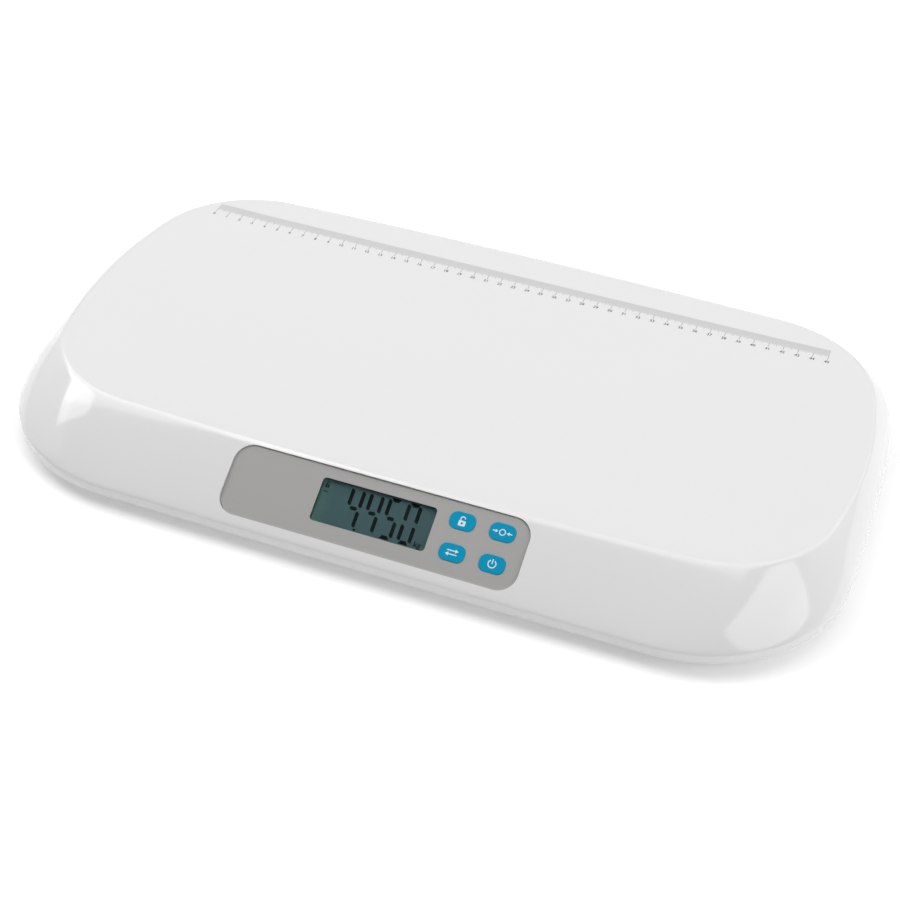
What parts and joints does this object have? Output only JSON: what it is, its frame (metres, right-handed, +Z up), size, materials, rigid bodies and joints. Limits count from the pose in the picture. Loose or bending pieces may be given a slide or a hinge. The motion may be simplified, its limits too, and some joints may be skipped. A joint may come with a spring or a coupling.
{
  "type": "digital baby weighing scale",
  "caption": "Low white tray scale with rounded corners, a sloping front apron with an LCD panel and press keys, and four load-cell feet under a screwed base.",
  "frame": {"origin": "centre of the scale's outline on the surface that it stands on", "axes": "+X to the right along the tray, +Y to the back, +Z up; the display panel faces -Y and up"},
  "size_m": [0.55, 0.3361, 0.044],
  "materials": {
    "shell_white": "glossy injection-moulded ABS",
    "base_white": "fine matt texture",
    "panel_grey": "satin warm grey",
    "window": "clear acrylic",
    "lcd": "reflective LCD glass",
    "key_blue": "satin blue silicone-coated cap",
    "gasket": "closed-cell foam",
    "frame_white": "plain moulded",
    "backlight": "milky diffuser",
    "zebra": "silicone connector strip",
    "board_green": "solder mask",
    "black_plastic": "epoxy moulding",
    "connector_white": "nylon",
    "can_metal": "plain can",
    "screw_steel": "zinc plated",
    "cell_steel": "stamped alloy steel",
    "gauge_silicone": "potting silicone",
    "foot_plastic": "moulded grey-white",
    "foot_rubber": "soft anti-slip",
    "lead_white": "PVC sleeve",
    "lead_red": "PVC insulation",
    "lead_black": "PVC insulation",
    "battery": "printed sleeve, plain",
    "contact_nickel": "nickel-plated spring steel",
    "hinge_steel": "ground pin"
  },
  "bodies": {
    "housing": {"top_shell": "shell_white", "base_shell": "base_white", "hinge_pin": "hinge_steel", "display_panel": "panel_grey", "display_lens": "window", "lens_gasket": "gasket", "lcd_glass": "lcd", "lcd_frame": "frame_white", "lcd_backlight": "backlight", "zebra_strips": "zebra", "display_board": "board_green", "board_screws": "screw_steel", "board_chips": "black_plastic", "crystal": "can_metal", "capacitors": "can_metal", "buzzer": "black_plastic", "sensor_headers": "connector_white", "battery_header": "connector_white", "switch_bodies": "black_plastic", "cell_screws": "screw_steel", "gauge_covers": "gauge_silicone", "battery_lead_red": "lead_red", "battery_lead_black": "lead_black", "positive_contact": "contact_nickel", "negative_contact": "contact_nickel", "battery_bridges": "contact_nickel", "housing_screws": "screw_steel", "load_cell_front_left": "cell_steel", "foot_cup_front_left": "foot_plastic", "foot_pad_front_left": "foot_rubber", "sensor_lead_front_left": "lead_white", "load_cell_front_right": "cell_steel", "foot_cup_front_right": "foot_plastic", "foot_pad_front_right": "foot_rubber", "sensor_lead_front_right": "lead_white", "load_cell_back_left": "cell_steel", "foot_cup_back_left": "foot_plastic", "foot_pad_back_left": "foot_rubber", "sensor_lead_back_left": "lead_white", "load_cell_back_right": "cell_steel", "foot_cup_back_right": "foot_plastic", "foot_pad_back_right": "foot_rubber", "sensor_lead_back_right": "lead_white", "battery_1": "battery", "battery_2": "battery", "battery_3": "battery", "battery_4": "battery"},
    "key_hold": {"key_hold": "key_blue", "stem_hold": "black_plastic"},
    "key_tare": {"key_tare": "key_blue", "stem_tare": "black_plastic"},
    "key_unit": {"key_unit": "key_blue", "stem_unit": "black_plastic"},
    "key_power": {"key_power": "key_blue", "stem_power": "black_plastic"},
    "door": {"battery_door": "base_white"}
  },
  "joints": [
    {"name": "key_hold_press", "type": "slide", "parent": "housing", "child": "key_hold", "axis": [0, 0.5368, -0.8437], "range_m": [0, 0.0006], "stiffness_N_per_m": 4000},
    {"name": "key_tare_press", "type": "slide", "parent": "housing", "child": "key_tare", "axis": [0, 0.5368, -0.8437], "range_m": [0, 0.0006], "stiffness_N_per_m": 4000},
    {"name": "key_unit_press", "type": "slide", "parent": "housing", "child": "key_unit", "axis": [0, 0.5368, -0.8437], "range_m": [0, 0.0006], "stiffness_N_per_m": 4000},
    {"name": "key_power_press", "type": "slide", "parent": "housing", "child": "key_power", "axis": [0, 0.5368, -0.8437], "range_m": [0, 0.0006], "stiffness_N_per_m": 4000},
    {"name": "battery_door_hinge", "type": "hinge", "parent": "housing", "child": "door", "pos_m": [-0.029, 0.03, 0.007], "axis": [0, 1, 0], "range_deg": [0, 100]}
  ]
}
